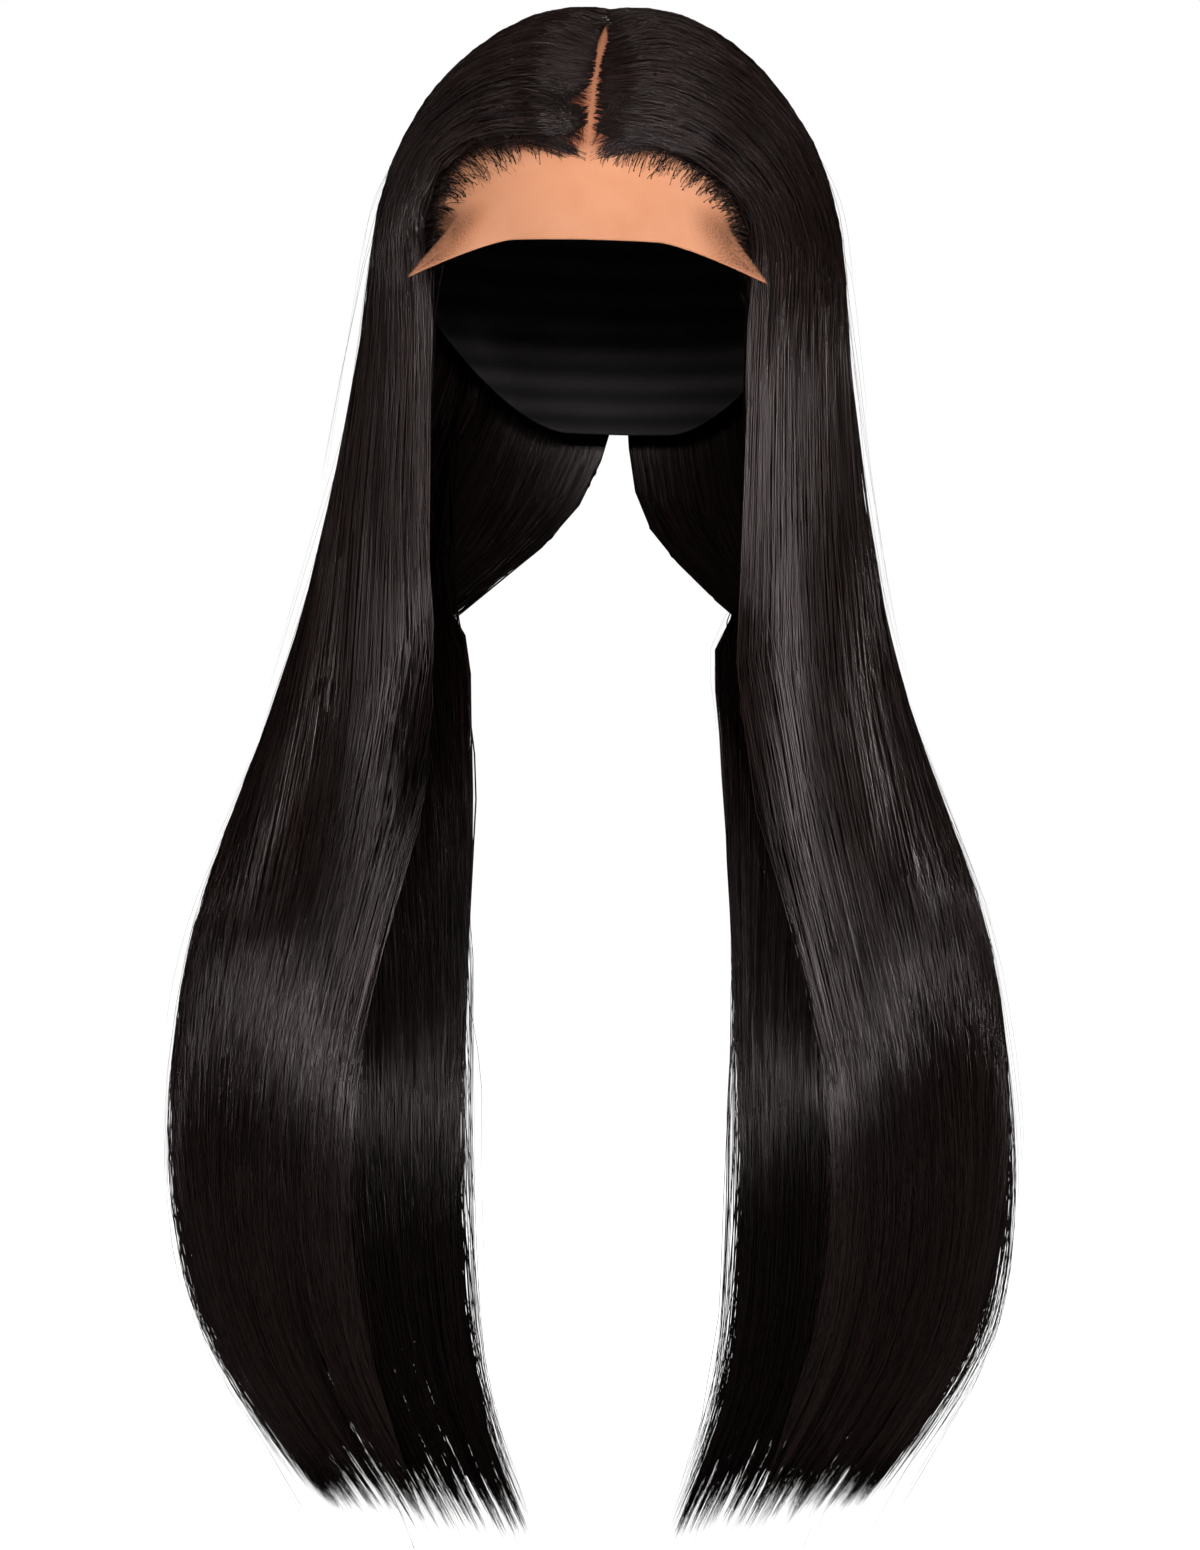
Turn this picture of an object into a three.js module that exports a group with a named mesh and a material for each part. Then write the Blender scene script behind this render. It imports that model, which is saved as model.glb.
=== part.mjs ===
// A long straight lace-front wig with a centre parting, in the form that it has when it is worn:
// a stretch-net cap, a lace front with two loose corners, and hair that falls forward over both shoulders.
// Millimetres, +Z up. The wearer faces -Y. The origin is inside the crown, where the top of the head sits.
import * as THREE from "three";

// Driving dimensions
const HEAD_WIDTH = 156; // inside the cap, above the ears
const HEAD_LENGTH = 194; // inside the cap, forehead to the back of the head
const CROWN_HEIGHT = 100; // from the widest level of the head up to the crown
const NET_WALL = 1.2;
const LACE_WALL = 1.0;
const SEAM_GAP = 0.5; // between the lace and the cap, on the seam from ear to ear
const ROOT_GAP = 0.7; // between the base and the hair that grows from it
const PARTING_WIDTH = 3.0; // bare lace along the parting
const BACK_PARTING_WIDTH = 0.8; // it closes up over the crown: the hair at the back is only just divided
const HEAD_LEAN = 1.6; // degrees, crown towards +X
const HEAD_TURN = -5.5; // degrees, face towards -X
const BODY_SHIFT = new THREE.Vector3(-9.5, 0, 0); // the shoulders' middle, seen from under the leaning head

// Lower edge of the net, as an angle down from the crown
const FOREHEAD_EDGE = 87;
const EAR_EDGE = 97;
const NAPE_EDGE = 128;

// Loose corners of the lace, at the temples
const CORNER_AZIMUTH = 42; // degrees from the middle of the forehead
const CORNER_START = 22; // where the edge begins to leave the forehead
const CORNER_END = 46;
const CORNER_LIFT = new THREE.Vector3(22, -6, -16); // from the edge on the head to the point of the corner
const CORNER_DEPTH = 0.1; // share of the lace's depth that lifts

// Locks
const LOCKS = 8; // in each body of hair
const LOCK_COLUMNS = 2; // a ridge and a valley
const RIDGE_AT_ROOT = 0.06; // depth of the valleys, as a share of the thickness
const RIDGE_AT_HEM = 0.5;
const HEM_NOTCH = 0.28; // how much shorter the valleys end, in sections
const EDGE_THICK = 0.14; // thickness of a free edge, as a share of the middle's
const HEAD_STEPS = 6; // stations from the root to the level of the ears

// Thickness of the hair over the head, from the root (0) to the level of the ears (1)
const HEAD_THICKNESS = [
  { along: 0, thick: 4 },
  { along: 0.08, thick: 8.5 },
  { along: 0.2, thick: 10.5 },
  { along: 0.5, thick: 13 },
  { along: 1, thick: 19 },
];

const CROWN_THICK = 8.8; // at the crown it is full right beside the parting

// One level that the hair hangs through: how thick it is there, how far it moves with the head (1) and not
// with the shoulders (0), and the side of it that faces the wearer, at its front edge, middle and back edge,
// each as [outwards, +Y, +Z]
const section = (at, thick, follow, front, middle, back) => ({ at, thick, follow, front, middle, back });

// Each body of hair: its way over the head, as directions [outwards, +Y, +Z] from the middle of the head,
// then the levels that it hangs through
const FRONT_HAIR = {
  gap: PARTING_WIDTH,
  innermost: 0, // 1 where its front edge is the inner edge of the fall
  free: { front: true, back: false }, // edges that are thin on the head too
  overHead: {
    root: { front: [0, -0.925, 0.38], middle: [0, -0.45, 0.893], back: [0, 0.2, 0.98] },
    over: { front: [0.733, -0.607, 0.307], middle: [0.69, -0.2, 0.69], back: [0.52, 0.5, 0.69] },
    ear: { front: [0.775, -0.63, 0], middle: [0.995, 0.1, 0], back: [0.743, 0.669, 0] },
  },
  hanging: [
    section("cheek", 18, 0.9, [63, -64, -150], [87, 2, -150], [70, 61, -150]),
    section("jaw", 16, 0.7, [65, -68, -200], [96, -6, -200], [88, 50, -200]),
    section("shoulder", 13, 0.3, [66, -74, -255], [107, -24, -260], [117, 28, -266]),
    section("collar", 11, 0, [75, -70, -312], [121, -56, -314], [139, -5, -314]),
    section("chest", 11, 0, [92, -85.5, -370], [135, -85.5, -370], [159, -41, -370]),
    section("bust", 11, 0, [104, -104, -432], [145, -93.5, -432], [169, -47, -432]),
    section("below", 10, 0, [105, -109, -490], [145, -92, -488], [169, -48, -485]),
    section("ends", 7, 0, [95, -105.5, -548], [133, -88.5, -542], [158, -52, -534]),
    section("hem", 2.5, 0, [76, -97, -602], [104, -84.5, -600], [125, -56, -592]),
  ],
};
const BACK_HAIR = {
  gap: BACK_PARTING_WIDTH,
  innermost: 1,
  free: { front: false, back: false },
  overHead: {
    root: { front: [0, 0.23, 0.973], middle: [0, 0.4, 0.917], back: [0, 0.55, 0.835] },
    over: { front: [0.51, 0.515, 0.69], middle: [0.28, 0.78, 0.55], back: [0, 0.88, 0.475] },
    ear: { front: [0.728, 0.686, 0], middle: [0.391, 0.921, 0], back: [0, 1, 0] },
  },
  hanging: [
    section("nape", 15, 0.9, [59, 66, -150], [42, 88, -150], [2, 100, -150]),
    section("neck", 11, 0.6, [80, 27, -205], [58, 66, -203], [15, 91, -196]),
    section("yoke", 10, 0.2, [51, -29, -252], [82, 26, -247], [50, 68, -232]),
    section("shoulder", 10, 0, [48, -57, -292], [90, -10, -283], [94, 34, -270]),
    section("collar", 10, 0, [47, -69, -332], [88, -46, -327], [113, -8, -318]),
    section("chest", 11, 0, [47, -80, -378], [86, -72, -376], [123, -45, -374]),
    section("bust", 11, 0, [47, -94.5, -432], [85, -92.5, -432], [126, -74, -432]),
    section("below", 10, 0, [46, -105, -492], [84, -100, -490], [124, -79, -488]),
    section("ends", 7, 0, [41, -103.5, -556], [74, -97.5, -552], [110, -75.5, -546]),
    section("hem", 2.5, 0, [28, -97.5, -612], [55, -92.5, -611], [86, -76, -604]),
  ],
};

// The two sides: the hair on the right hangs a little further from the middle, and its ends are fuller
const SIDES = [
  { name: "left", sign: -1, apart: 0, fuller: 0 },
  { name: "right", sign: 1, apart: 9, fuller: 9 },
];

const materials = {
  hair: new THREE.MeshStandardMaterial({ color: 0x15100f, roughness: 0.38, metalness: 0 }),
  net: new THREE.MeshStandardMaterial({ color: 0x1c1716, roughness: 0.9, metalness: 0 }),
  lace: new THREE.MeshStandardMaterial({ color: 0xb98763, roughness: 0.8, metalness: 0 }),
};

const radians = THREE.MathUtils.degToRad;
const smoothstep = THREE.MathUtils.smoothstep;
const lerp = THREE.MathUtils.lerp;
const headCentre = new THREE.Vector3(0, 0, -CROWN_HEIGHT);
const headPose = new THREE.Matrix4().makeRotationFromEuler(
  new THREE.Euler(0, radians(HEAD_LEAN), radians(HEAD_TURN), "YZX"),
);

// The point on the head in a direction from its middle, lifted off the scalp
function onHead(direction, lift) {
  const size = new THREE.Vector3(HEAD_WIDTH / 2 + lift, HEAD_LENGTH / 2 + lift, CROWN_HEIGHT + lift);
  return direction.clone().normalize().multiply(size).add(headCentre);
}

// A closed wall between two grids of points with the same rows and columns. A row may shrink to a point.
function wallGeometry(inner, outer) {
  const rows = outer.length;
  const columns = outer[0].length;
  const points = [...outer.flat(), ...inner.flat()];
  const known = new Map();
  const index = points.map((p) => {
    const key = p.toArray().map((v) => v.toFixed(3)).join();
    if (!known.has(key)) known.set(key, known.size);
    return known.get(key);
  });
  const triangles = [];
  const face = (...corners) => {
    const [a, b, c] = corners.map((i) => index[i]);
    if (a !== b && b !== c && c !== a) triangles.push(a, b, c);
  };
  const quad = (a, b, c, d) => {
    face(a, b, c);
    face(a, c, d);
  };
  const at = (row, column, side) => (side * rows + row) * columns + column;
  for (let r = 0; r + 1 < rows; r++)
    for (let c = 0; c + 1 < columns; c++) {
      quad(at(r, c, 0), at(r + 1, c, 0), at(r + 1, c + 1, 0), at(r, c + 1, 0));
      quad(at(r, c, 1), at(r, c + 1, 1), at(r + 1, c + 1, 1), at(r + 1, c, 1));
    }
  for (let r = 0; r + 1 < rows; r++) {
    quad(at(r, 0, 0), at(r, 0, 1), at(r + 1, 0, 1), at(r + 1, 0, 0));
    quad(at(r, columns - 1, 0), at(r + 1, columns - 1, 0), at(r + 1, columns - 1, 1), at(r, columns - 1, 1));
  }
  for (let c = 0; c + 1 < columns; c++) {
    quad(at(0, c, 0), at(0, c + 1, 0), at(0, c + 1, 1), at(0, c, 1));
    quad(at(rows - 1, c, 0), at(rows - 1, c, 1), at(rows - 1, c + 1, 1), at(rows - 1, c + 1, 0));
  }
  const position = new Float32Array(known.size * 3);
  points.forEach((p, i) => p.toArray(position, index[i] * 3));
  const geometry = new THREE.BufferGeometry();
  geometry.setAttribute("position", new THREE.BufferAttribute(position, 3));
  geometry.setIndex(triangles);
  geometry.computeVertexNormals();
  return geometry;
}

// Half of a dome of net: azimuths run round the head from the middle of the forehead, and each column of
// points runs from the crown down to the edge.
function halfDome({ azimuths, rows, edgeAngle, wall, seamShift, lift }) {
  const grid = (raise) =>
    Array.from({ length: rows + 1 }, (_, r) =>
      azimuths.map((azimuth) => {
        const a = radians(azimuth);
        const down = radians(edgeAngle(azimuth)) * (r / rows);
        const direction = new THREE.Vector3(
          Math.sin(down) * Math.sin(a),
          -Math.sin(down) * Math.cos(a),
          Math.cos(down),
        );
        const point = onHead(direction, raise);
        point.y += seamShift;
        return lift ? point.add(lift(azimuth, r / rows)) : point;
      }),
    );
  return wallGeometry(grid(0), grid(wall));
}

function stepsBetween(low, high, count) {
  return Array.from({ length: count + 1 }, (_, i) => lerp(low, high, i / count));
}

function capGeometry() {
  const edgeAngle = (azimuth) => lerp(NAPE_EDGE, EAR_EDGE, smoothstep(Math.abs(180 - azimuth), 20, 90));
  return halfDome({
    azimuths: stepsBetween(90, 270, 26),
    rows: 11,
    edgeAngle,
    wall: NET_WALL,
    seamShift: SEAM_GAP / 2,
  });
}

// How far a loose corner has left the head: rises slowly from the forehead and ends in a point at the temple
function cornerRise(azimuth) {
  const away = Math.abs(azimuth);
  if (away <= CORNER_START || away >= CORNER_END) return 0;
  if (away > CORNER_AZIMUTH) return (CORNER_END - away) / (CORNER_END - CORNER_AZIMUTH);
  return Math.pow((away - CORNER_START) / (CORNER_AZIMUTH - CORNER_START), 1.6);
}

function laceGeometry() {
  const edgeAngle = (azimuth) => lerp(FOREHEAD_EDGE, EAR_EDGE, smoothstep(Math.abs(azimuth), 50, 90));
  const half = [
    ...stepsBetween(0, CORNER_START, 4),
    ...stepsBetween(CORNER_START, CORNER_AZIMUTH, 4).slice(1),
    CORNER_END,
    ...stepsBetween(CORNER_END, 90, 5).slice(1),
  ];
  const azimuths = [...half.slice(1).reverse().map((a) => -a), ...half];
  const lift = (azimuth, down) => {
    const share = cornerRise(azimuth) * smoothstep(down, 1 - CORNER_DEPTH, 1.02);
    const outwards = new THREE.Vector3(Math.sign(azimuth), 1, 1);
    return CORNER_LIFT.clone().multiply(outwards).multiplyScalar(share);
  };
  return halfDome({ azimuths, rows: 14, edgeAngle, wall: LACE_WALL, seamShift: -SEAM_GAP / 2, lift });
}

// A smooth arc through the front, middle and back of a section
function across({ front, middle, back }, s) {
  const weights = [(1 - s) * (1 - 2 * s), 4 * s * (1 - s), s * (2 * s - 1)];
  const point = new THREE.Vector3();
  [front, middle, back].forEach((p, i) => point.addScaledVector(new THREE.Vector3(...p), weights[i]));
  return point;
}

// The way of one strand along the side of the hair that faces the wearer, from its root to its tip
function strandCurve(hair, side, s) {
  const points = [];
  const gap = lerp(hair.gap, BACK_PARTING_WIDTH, smoothstep(s, 0.5, 0.8));
  const { root, over, ear } = hair.overHead;
  const [start, bend, end] = [root, over, ear].map((station) => across(station, s).normalize());
  const place = (p, follow) => {
    const worn = p.clone().applyMatrix4(headPose);
    return p.add(BODY_SHIFT).lerp(worn, follow);
  };
  for (let i = 0; i <= HEAD_STEPS; i++) {
    const k = i / HEAD_STEPS;
    const direction = start
      .clone()
      .multiplyScalar((1 - k) ** 2)
      .addScaledVector(bend, 2 * k * (1 - k))
      .addScaledVector(end, k ** 2);
    const point = onHead(direction, NET_WALL + ROOT_GAP);
    point.x = side.sign * (point.x + (gap / 2) * (1 - k * (1 - s)));
    points.push(place(point, 1));
  }
  hair.hanging.forEach((section, i) => {
    const point = across(section, s);
    const loose = smoothstep(i, hair.hanging.length - 4, hair.hanging.length - 1);
    const inner = side.apart * (1 - s) * smoothstep(i, 1, 5) * hair.innermost;
    point.x = side.sign * (point.x + inner + side.fuller * s * loose);
    points.push(place(point, section.follow));
  });
  return new THREE.CatmullRomCurve3(points, false, "centripetal");
}

function thicknessAt(hair, s, along) {
  const stations = [
    ...HEAD_THICKNESS.map((row) => ({ along: row.along * HEAD_STEPS, thick: row.thick })),
    ...hair.hanging.map((row, i) => ({ along: HEAD_STEPS + 1 + i, thick: row.thick })),
  ];
  const next = Math.max(1, stations.findIndex((row) => row.along >= along));
  const [low, high] = [stations[next - 1], stations[next]];
  const thick = lerp(low.thick, high.thick, (along - low.along) / (high.along - low.along));
  const crown = hair.free.front ? smoothstep(s, 0.42, 0.66) : 1;
  return along < HEAD_STEPS ? lerp(thick, Math.max(thick, CROWN_THICK), crown) : thick;
}

// Share of the full thickness across the hair: its edges thin out, but on the head those against other hair
// stay full
function edgeShare(hair, s, along) {
  const hangs = smoothstep(along, HEAD_STEPS, HEAD_STEPS + 2);
  const rise = (fromEdge) => Math.pow(Math.sin(Math.min(fromEdge, 0.5) * Math.PI), 0.7);
  const thin = (fromEdge) => lerp(EDGE_THICK, 1, rise(fromEdge));
  const front = lerp(1, thin(s), hair.free.front ? 1 : hangs);
  const back = lerp(1, thin(1 - s), hair.free.back ? 1 : hangs);
  return s < 0.5 ? front : back;
}

// One body of hair: a wall from the roots to the hem whose outer side is parted into locks with pointed ends
function hairGeometry(hair, side) {
  const columns = LOCKS * LOCK_COLUMNS;
  const last = HEAD_STEPS + hair.hanging.length;
  const headRows = [0, 0.06, ...stepsBetween(0.12, 1, 9).slice(0, -1)].map((k) => k * HEAD_STEPS);
  const hangingRows = stepsBetween(HEAD_STEPS, last, hair.hanging.length * 2);
  const rows = [...headRows, ...hangingRows];
  const valley = (s) => 0.5 - 0.5 * Math.cos(2 * Math.PI * LOCKS * s + Math.PI);
  const curves = stepsBetween(0, 1, columns).map((s) => ({ s, curve: strandCurve(hair, side, s) }));
  const reach = (s, along) => along - HEM_NOTCH * valley(s) * smoothstep(along, last - 2, last);
  const inner = rows.map((along) => curves.map(({ s, curve }) => curve.getPoint(reach(s, along) / last)));
  const outer = rows.map((along, r) =>
    curves.map(({ s }, c) => {
      const [above, below] = [inner[Math.max(r - 1, 0)][c], inner[Math.min(r + 1, rows.length - 1)][c]];
      const [before, after] = [inner[r][Math.max(c - 1, 0)], inner[r][Math.min(c + 1, columns)]];
      const normal = below.clone().sub(above).cross(after.clone().sub(before)).normalize();
      const ridge = 1 - lerp(RIDGE_AT_ROOT, RIDGE_AT_HEM, along / last) * valley(s);
      const thick = thicknessAt(hair, s, along) * edgeShare(hair, s, along) * ridge;
      return inner[r][c].clone().addScaledVector(normal, side.sign * thick);
    }),
  );
  const turned = (grid) => (side.sign > 0 ? grid : grid.map((row) => [...row].reverse()));
  return wallGeometry(turned(inner), turned(outer));
}

function named(name, geometry, material) {
  const mesh = new THREE.Mesh(geometry, material);
  mesh.name = name;
  return mesh;
}

materials.lace.transparent = true;
materials.lace.opacity = 0.6;

const wig = new THREE.Group();
const base = new THREE.Group();
base.applyMatrix4(headPose);
base.add(named("cap", capGeometry(), materials.net));
base.add(named("lace_front", laceGeometry(), materials.lace));
wig.add(base);
for (const side of SIDES) {
  wig.add(named(`hair_front_${side.name}`, hairGeometry(FRONT_HAIR, side), materials.hair));
  wig.add(named(`hair_back_${side.name}`, hairGeometry(BACK_HAIR, side), materials.hair));
}

export default wig;
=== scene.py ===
import math
import bpy
import numpy as np
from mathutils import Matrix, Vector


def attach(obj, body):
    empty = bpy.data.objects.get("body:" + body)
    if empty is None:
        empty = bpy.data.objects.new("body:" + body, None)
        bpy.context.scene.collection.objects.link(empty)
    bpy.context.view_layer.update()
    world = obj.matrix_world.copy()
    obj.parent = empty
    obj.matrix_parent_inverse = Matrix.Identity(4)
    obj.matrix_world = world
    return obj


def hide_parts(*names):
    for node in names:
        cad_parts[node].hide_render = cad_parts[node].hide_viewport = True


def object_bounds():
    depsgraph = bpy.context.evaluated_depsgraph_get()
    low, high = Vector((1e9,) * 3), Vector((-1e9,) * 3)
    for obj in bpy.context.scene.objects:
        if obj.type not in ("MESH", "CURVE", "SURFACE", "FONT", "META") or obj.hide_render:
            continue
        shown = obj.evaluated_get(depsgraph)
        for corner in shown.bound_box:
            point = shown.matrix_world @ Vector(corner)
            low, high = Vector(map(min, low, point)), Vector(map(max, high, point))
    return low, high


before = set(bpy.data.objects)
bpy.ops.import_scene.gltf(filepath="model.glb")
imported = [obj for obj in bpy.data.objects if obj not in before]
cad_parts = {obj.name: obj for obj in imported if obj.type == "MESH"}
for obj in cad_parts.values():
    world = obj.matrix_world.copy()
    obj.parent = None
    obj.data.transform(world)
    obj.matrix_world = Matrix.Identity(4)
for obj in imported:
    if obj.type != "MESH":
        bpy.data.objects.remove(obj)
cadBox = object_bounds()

mm = 0.001

# The dome that the cap, the lace and the hair lie on, in millimetres and degrees, as the solids have it
dome = {
    "width": 156, "length": 194, "crown": 100,
    "netWall": 1.2, "laceWall": 1.0, "rootGap": 0.7, "seamGap": 0.5,
    "lean": 1.6, "turn": -5.5, "bodyShift": (-9.5, 0, 0),
    "frontEdge": 87, "sideEdge": 97, "rearEdge": 128,  # down from the crown
    "cornerAt": 42, "cornerStart": 22, "cornerEnd": 46, "cornerLift": (22, -6, -16), "cornerDepth": 0.1,
}

# Hair: its way over the cap as directions, then the levels it hangs through:
# thickness, how far it moves with the cap, front edge, middle, back edge
frontHair = {
    "name": "front", "gap": 3.0, "innermost": 0, "freeFront": True,
    "overCap": [
        [(0, -0.925, 0.38), (0, -0.45, 0.893), (0, 0.2, 0.98)],
        [(0.733, -0.607, 0.307), (0.69, -0.2, 0.69), (0.52, 0.5, 0.69)],
        [(0.775, -0.63, 0), (0.995, 0.1, 0), (0.743, 0.669, 0)],
    ],
    "hanging": [
        (18, 0.9, (63, -64, -150), (87, 2, -150), (70, 61, -150)),
        (16, 0.7, (65, -68, -200), (96, -6, -200), (88, 50, -200)),
        (13, 0.3, (66, -74, -255), (107, -24, -260), (117, 28, -266)),
        (11, 0, (75, -70, -312), (121, -56, -314), (139, -5, -314)),
        (11, 0, (92, -85.5, -370), (135, -85.5, -370), (159, -41, -370)),
        (11, 0, (104, -104, -432), (145, -93.5, -432), (169, -47, -432)),
        (10, 0, (105, -109, -490), (145, -92, -488), (169, -48, -485)),
        (7, 0, (95, -105.5, -548), (133, -88.5, -542), (158, -52, -534)),
        (2.5, 0, (76, -97, -602), (104, -84.5, -600), (125, -56, -592)),
    ],
}
backHair = {
    "name": "back", "gap": 0.8, "innermost": 1, "freeFront": False,
    "overCap": [
        [(0, 0.23, 0.973), (0, 0.4, 0.917), (0, 0.55, 0.835)],
        [(0.51, 0.515, 0.69), (0.28, 0.78, 0.55), (0, 0.88, 0.475)],
        [(0.728, 0.686, 0), (0.391, 0.921, 0), (0, 1, 0)],
    ],
    "hanging": [
        (15, 0.9, (59, 66, -150), (42, 88, -150), (2, 100, -150)),
        (11, 0.6, (80, 27, -205), (58, 66, -203), (15, 91, -196)),
        (10, 0.2, (51, -29, -252), (82, 26, -247), (50, 68, -232)),
        (10, 0, (48, -57, -292), (90, -10, -283), (94, 34, -270)),
        (10, 0, (47, -69, -332), (88, -46, -327), (113, -8, -318)),
        (11, 0, (47, -80, -378), (86, -72, -376), (123, -45, -374)),
        (11, 0, (47, -94.5, -432), (85, -92.5, -432), (126, -74, -432)),
        (10, 0, (46, -105, -492), (84, -100, -490), (124, -79, -488)),
        (7, 0, (41, -103.5, -556), (74, -97.5, -552), (110, -75.5, -546)),
        (2.5, 0, (28, -97.5, -612), (55, -92.5, -611), (86, -76, -604)),
    ],
}
# The two sides, each with its hairline: where the full hair begins at each station,
# and where the first roots are
sides = {
    "left": {"sign": -1, "apart": 0, "fuller": 0, "first": -0.015,
             "edge": [(0, 0.10), (0.6, 0.045), (1.6, 0.08), (2.6, 0.12), (3.7, 0.14), (6.6, 0)]},
    "right": {"sign": 1, "apart": 9, "fuller": 9, "first": -0.05,
              "edge": [(0, 0.08), (0.8, 0.035), (1.5, 0.04), (4, 0.04), (6.6, 0)]},
}
hairForm = {
    "steps": 6,  # stations from the parting down to the dome's widest level
    "thickness": [(0, 4), (0.08, 8.5), (0.2, 10.5), (0.5, 13), (1, 19)],  # by the share of that way
    "crownThickness": 8.8, "crownAcross": (0.42, 0.66),  # the least at the crown, and where the crown begins
    "edgeThickness": 0.14, "edgeRound": 0.7,  # the share that a free edge has, and how round it is
    "gapAcross": (0.5, 0.8),  # where the parting's gap narrows to that of the back hair
}
gridFrom, gridTo = -0.12, 1.08  # the surface is worked out a little past its edges
gridAcross = 96
gridPerStep = 16


def smoothStep(x, low, high):
    k = np.clip((np.asarray(x, float) - low) / (high - low), 0, 1)
    return k * k * (3 - 2 * k)


def unit(v):
    return v / (np.linalg.norm(v, axis=-1, keepdims=True) + 1e-12)


def domeTurn():
    a, b = math.radians(dome["lean"]), math.radians(dome["turn"])
    lean = np.array([[math.cos(a), 0, math.sin(a)], [0, 1, 0], [-math.sin(a), 0, math.cos(a)]])
    turn = np.array([[math.cos(b), -math.sin(b), 0], [math.sin(b), math.cos(b), 0], [0, 0, 1]])
    return lean @ turn


def onDome(direction, lift):
    size = np.array([dome["width"] / 2 + lift, dome["length"] / 2 + lift, dome["crown"] + lift])
    return unit(direction) * size - np.array([0, 0, dome["crown"]])


def acrossHair(points, s):
    front, middle, back = [np.array(p, float) for p in points]
    s = s[:, None]
    return front * (1 - s) * (1 - 2 * s) + middle * 4 * s * (1 - s) + back * s * (2 * s - 1)


# Rows of points that one body of hair runs through, with one more row before the first and after the last
def hairStations(hair, side, s):
    sign, turned, shift = side["sign"], domeTurn(), np.array(dome["bodyShift"])
    root, over, low = [unit(acrossHair(station, s)) for station in hair["overCap"]]
    gap = hair["gap"] + (backHair["gap"] - hair["gap"]) * smoothStep(s, *hairForm["gapAcross"])
    stations = []
    for i in range(hairForm["steps"] + 1):
        k = i / hairForm["steps"]
        way = root * (1 - k) ** 2 + over * 2 * k * (1 - k) + low * k * k
        p = onDome(way, dome["netWall"] + dome["rootGap"])
        p[:, 0] = sign * (p[:, 0] + gap / 2 * (1 - k * (1 - s)))
        stations.append(p @ turned.T)
    levels = len(hair["hanging"])
    for i, (_, follow, *points) in enumerate(hair["hanging"]):
        p = acrossHair(points, s)
        loose = smoothStep(i, levels - 4, levels - 1)
        inner = side["apart"] * (1 - s) * smoothStep(i, 1, 5) * hair["innermost"]
        p[:, 0] = sign * (p[:, 0] + inner + side["fuller"] * s * loose)
        stations.append((p + shift) * (1 - follow) + p @ turned.T * follow)
    return [2 * stations[0] - stations[1], *stations, 2 * stations[-1] - stations[-2]]


# A smooth way through the stations, carried on straight past the hem
def throughStations(stations, last, count):
    base = np.empty((len(stations[0]), count, 3))
    for i in range(last):
        p0, p1, p2, p3 = stations[i:i + 4]
        spans = (p1 - p0, p2 - p1, p3 - p2)
        d0, d1, d2 = [np.linalg.norm(span, axis=1, keepdims=True) ** 0.5 for span in spans]
        m1 = ((p1 - p0) / d0 - (p2 - p0) / (d0 + d1) + (p2 - p1) / d1) * d1
        m2 = ((p2 - p1) / d1 - (p3 - p1) / (d1 + d2) + (p3 - p2) / d2) * d1
        for j in range(gridPerStep + 1):
            w = j / gridPerStep
            base[:, i * gridPerStep + j] = (
                p1 * (2 * w**3 - 3 * w**2 + 1) + p2 * (3 * w**2 - 2 * w**3)
                + m1 * (w**3 - 2 * w**2 + w) + m2 * (w**3 - w**2))
    end = last * gridPerStep
    for j in range(1, count - end):
        base[:, end + j] = base[:, end] + (base[:, end] - base[:, end - 1]) * j
    return base


# The inner side of one body of hair, with its normals and thickness, in metres
def hairSurface(hair, side):
    s = np.linspace(gridFrom, gridTo, gridAcross + 1)
    steps, levels = hairForm["steps"], len(hair["hanging"])
    last = steps + levels
    u = np.arange(last * gridPerStep + gridPerStep // 2 + 1) / gridPerStep  # runs half a step past the hem
    base = throughStations(hairStations(hair, side, s), last, len(u))
    normal = unit(np.cross(np.gradient(base, axis=1), np.gradient(base, axis=0))) * side["sign"]
    at = [k * steps for k, _ in hairForm["thickness"]] + [steps + 1 + i for i in range(levels)]
    overCap, hanging = [t for _, t in hairForm["thickness"]], [row[0] for row in hair["hanging"]]
    thick = np.interp(u, at, overCap + hanging)
    full = np.interp(u, at, [max(t, hairForm["crownThickness"]) for t in overCap] + hanging)
    atCrown = (smoothStep(s, *hairForm["crownAcross"]) if hair["freeFront"] else np.ones_like(s))[:, None]
    thick = thick[None] * (1 - atCrown) + full[None] * atCrown
    hangs = smoothStep(u, steps, steps + 2)[None]
    edge = np.clip(np.minimum(s, 1 - s), 0, 0.5)[:, None]
    least = hairForm["edgeThickness"]
    thin = least + (1 - least) * np.sin(edge * math.pi) ** hairForm["edgeRound"]
    inFront = s[:, None] < 0.5
    free = np.where(inFront & hair["freeFront"], 1, hangs)
    return {
        "base": base * mm, "normal": normal, "last": last,
        "edge": side["edge"] if hair["freeFront"] else [(0, 0)], "first": side["first"],
        "thick": thick * (1 + (thin - 1) * free) * mm,
    }


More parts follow.
